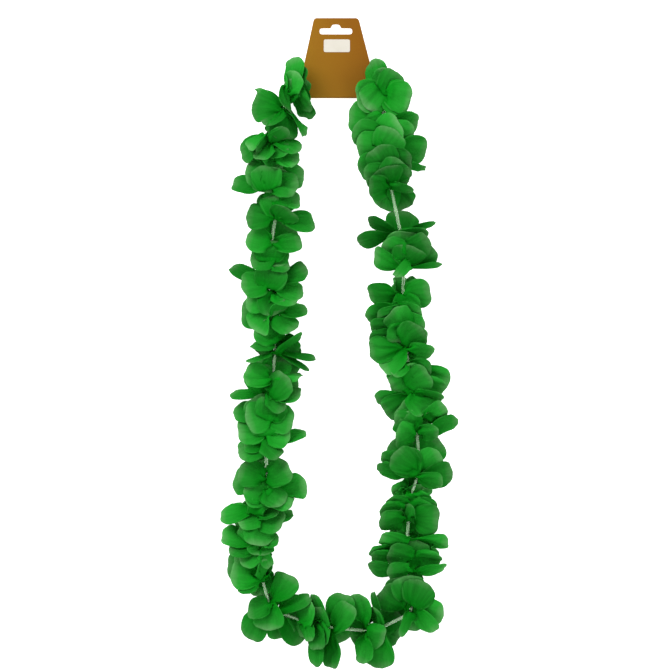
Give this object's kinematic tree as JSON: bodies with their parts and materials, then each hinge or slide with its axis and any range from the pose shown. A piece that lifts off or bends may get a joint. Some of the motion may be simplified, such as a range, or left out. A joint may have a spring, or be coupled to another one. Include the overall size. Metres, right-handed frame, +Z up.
{
  "type": "artificial flower lei",
  "caption": "Artificial flower lei: die-cut fabric blossoms and clear straw spacers threaded on a string, closed in a loop at a folded header card.",
  "frame": {"origin": "middle of the footprint, on the surface that the lei lies on", "axes": "+Z up, +Y from the bottom of the loop towards the header card, +X to the right seen from above"},
  "size_m": [0.19, 0.5206, 0.0471],
  "materials": {
    "petal_fabric": "thin woven polyester, slightly glossy, creased",
    "clear_straw": "thin clear plastic tube",
    "string": "twisted thread",
    "printed_card": "printed card, satin"
  },
  "bodies": {
    "root": {"flower_01": "petal_fabric", "flower_02": "petal_fabric", "flower_03": "petal_fabric", "flower_04": "petal_fabric", "flower_05": "petal_fabric", "flower_06": "petal_fabric", "flower_07": "petal_fabric", "flower_08": "petal_fabric", "flower_09": "petal_fabric", "flower_10": "petal_fabric", "flower_11": "petal_fabric", "flower_12": "petal_fabric", "flower_13": "petal_fabric", "flower_14": "petal_fabric", "flower_15": "petal_fabric", "flower_16": "petal_fabric", "flower_17": "petal_fabric", "flower_18": "petal_fabric", "flower_19": "petal_fabric", "flower_20": "petal_fabric", "flower_21": "petal_fabric", "flower_22": "petal_fabric", "flower_23": "petal_fabric", "flower_24": "petal_fabric", "flower_25": "petal_fabric", "flower_26": "petal_fabric", "flower_27": "petal_fabric", "flower_28": "petal_fabric", "flower_29": "petal_fabric", "straw_01": "clear_straw", "straw_02": "clear_straw", "straw_03": "clear_straw", "straw_04": "clear_straw", "straw_05": "clear_straw", "straw_06": "clear_straw", "straw_07": "clear_straw", "straw_08": "clear_straw", "straw_09": "clear_straw", "straw_10": "clear_straw", "straw_11": "clear_straw", "straw_12": "clear_straw", "straw_13": "clear_straw", "straw_14": "clear_straw", "straw_15": "clear_straw", "straw_16": "clear_straw", "straw_17": "clear_straw", "straw_18": "clear_straw", "straw_19": "clear_straw", "straw_20": "clear_straw", "straw_21": "clear_straw", "straw_22": "clear_straw", "straw_23": "clear_straw", "straw_24": "clear_straw", "straw_25": "clear_straw", "straw_26": "clear_straw", "straw_27": "clear_straw", "straw_28": "clear_straw", "string": "string", "header_card": "printed_card"}
  },
  "joints": []
}
